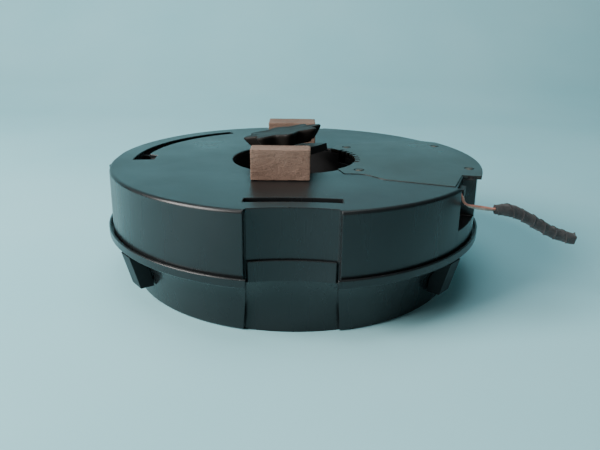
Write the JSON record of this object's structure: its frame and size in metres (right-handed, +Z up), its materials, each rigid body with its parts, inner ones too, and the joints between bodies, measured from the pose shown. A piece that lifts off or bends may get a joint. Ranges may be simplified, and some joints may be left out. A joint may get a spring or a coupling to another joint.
{
  "type": "spare wheel subwoofer enclosure",
  "caption": "Round two-shell black subwoofer box that bolts down inside a spare wheel, with a side notch, port slot, service cover, star knob hold-down, foam pads and a short taped lead.",
  "frame": {"origin": "centre of the drum's base, on the surface it stands on", "axes": "+Z up along the drum's axis; -Y towards the front notch and finger slot; +X towards the service cover and the wire exit"},
  "size_m": [0.4094, 0.3434, 0.1377],
  "materials": {
    "black_plastic": "satin moulded black plastic, finely grained",
    "dark_plastic": "matte black plastic",
    "rubber": "matte rubber",
    "zinc_steel": "zinc plated steel",
    "black_steel": "black painted steel",
    "ferrite": "dark grey ferrite",
    "copper": "enamelled copper wire",
    "spider_cloth": "resin treated cloth",
    "paper_cone": "black pressed paper",
    "wadding": "white polyester wool",
    "foam": "grey-brown closed cell foam rubber with a wrinkled skin",
    "red_wire": "faded red insulation",
    "grey_wire": "pale grey insulation",
    "cloth_tape": "black cloth tape"
  },
  "bodies": {
    "enclosure": {"bay_cover": "black_plastic", "connector_housing": "dark_plastic", "cover_screw_1": "zinc_steel", "cover_screw_2": "zinc_steel", "cover_screw_3": "zinc_steel", "cover_screw_4": "zinc_steel", "driver_bay": "dark_plastic", "driver_frame": "black_steel", "driver_gasket": "rubber", "driver_screw_1": "zinc_steel", "driver_screw_2": "zinc_steel", "driver_screw_3": "zinc_steel", "driver_screw_4": "zinc_steel", "foam_pad_front": "foam", "foam_pad_rear": "foam", "lower_shell": "black_plastic", "magnet": "ferrite", "motor_front_plate": "zinc_steel", "pole_yoke": "zinc_steel", "port_duct": "dark_plastic", "rim_lug_front_left": "black_plastic", "rim_lug_front_right": "black_plastic", "rim_lug_rear_left": "black_plastic", "rim_lug_rear_right": "black_plastic", "screw_pillar_1": "black_plastic", "screw_pillar_2": "black_plastic", "screw_pillar_3": "black_plastic", "screw_pillar_4": "black_plastic", "screw_pillar_5": "black_plastic", "screw_pillar_6": "black_plastic", "shell_screw_1": "zinc_steel", "shell_screw_2": "zinc_steel", "shell_screw_3": "zinc_steel", "shell_screw_4": "zinc_steel", "shell_screw_5": "zinc_steel", "shell_screw_6": "zinc_steel", "shell_seal_left": "rubber", "shell_seal_right": "rubber", "socket_half_lower": "dark_plastic", "socket_half_upper": "dark_plastic", "spider": "spider_cloth", "surround": "rubber", "upper_shell": "black_plastic", "wadding": "wadding", "well_cup": "black_plastic", "wire_grey": "grey_wire", "wire_red": "red_wire", "wire_tape": "cloth_tape"},
    "swivel": {"swivel_ball": "dark_plastic"},
    "carriage": {"load_plate": "black_steel", "thrust_washer": "zinc_steel"},
    "hold_down_screw": {"hold_down_knob": "black_plastic", "hold_down_bolt": "zinc_steel", "retaining_clip": "zinc_steel"},
    "cone_assembly": {"cone": "paper_cone", "dust_cap": "paper_cone", "coil_former": "paper_cone", "voice_coil": "copper"}
  },
  "joints": [
    {"name": "bolt_tilt", "type": "hinge", "parent": "enclosure", "child": "swivel", "pos_m": [0, 0, 0.06], "axis": [-0.3628, -0.9319, 0], "range_deg": [-22, 5]},
    {"name": "bolt_slide", "type": "slide", "parent": "swivel", "child": "carriage", "axis": [-0.1613, 0.0628, 0.9849], "range_m": [-0.03, 0.03]},
    {"name": "knob_turn", "type": "hinge", "parent": "carriage", "child": "hold_down_screw", "pos_m": [0, 0, 0.06], "axis": [-0.1613, 0.0628, 0.9849], "continuous": true},
    {"name": "cone_travel", "type": "slide", "parent": "enclosure", "child": "cone_assembly", "axis": [0, 0, 1], "range_m": [-0.003, 0.003], "stiffness_N_per_m": 1500, "deforming": ["surround", "spider"]}
  ]
}
